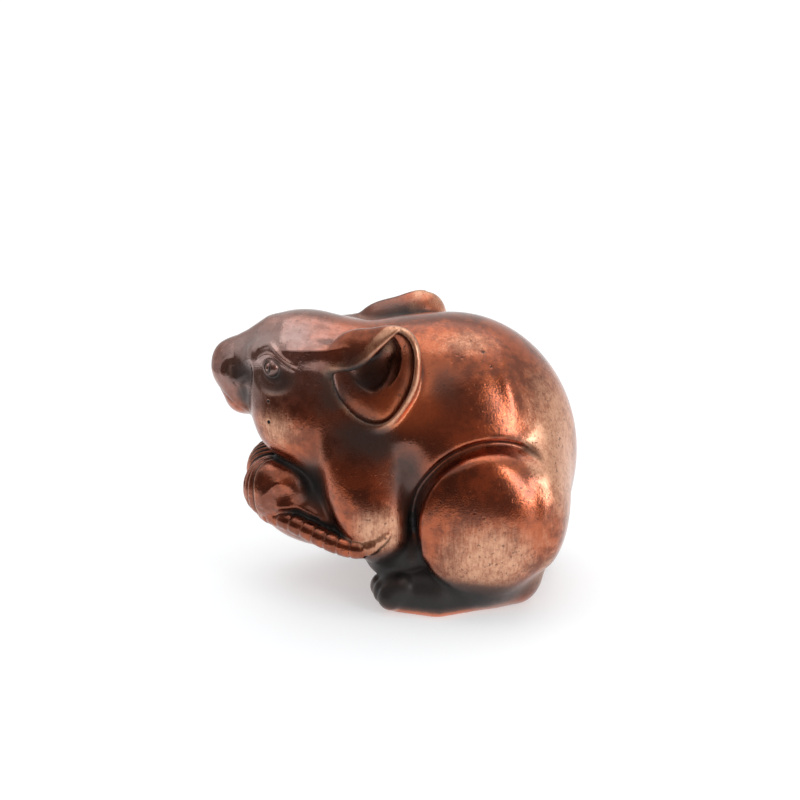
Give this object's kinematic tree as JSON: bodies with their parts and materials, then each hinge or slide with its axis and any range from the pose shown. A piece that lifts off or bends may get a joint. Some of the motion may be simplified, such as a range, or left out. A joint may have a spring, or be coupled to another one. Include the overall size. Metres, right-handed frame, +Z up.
{
  "type": "rat okimono",
  "caption": "Small cast-bronze ornament of a crouching rat that holds its own tail in its raised forepaws, with a browned, rubbed patina.",
  "frame": {"origin": "on the resting plane, under the middle of the figure's box", "axes": "+X from the nose to the rump, +Z up, so that the rat's left flank faces -Y"},
  "size_m": [0.062, 0.0416, 0.0495],
  "materials": {
    "browned_bronze": "browned bronze, rubbed pale on the high places and dark in the hollows"
  },
  "bodies": {
    "root": {"rat": "browned_bronze"}
  },
  "joints": []
}
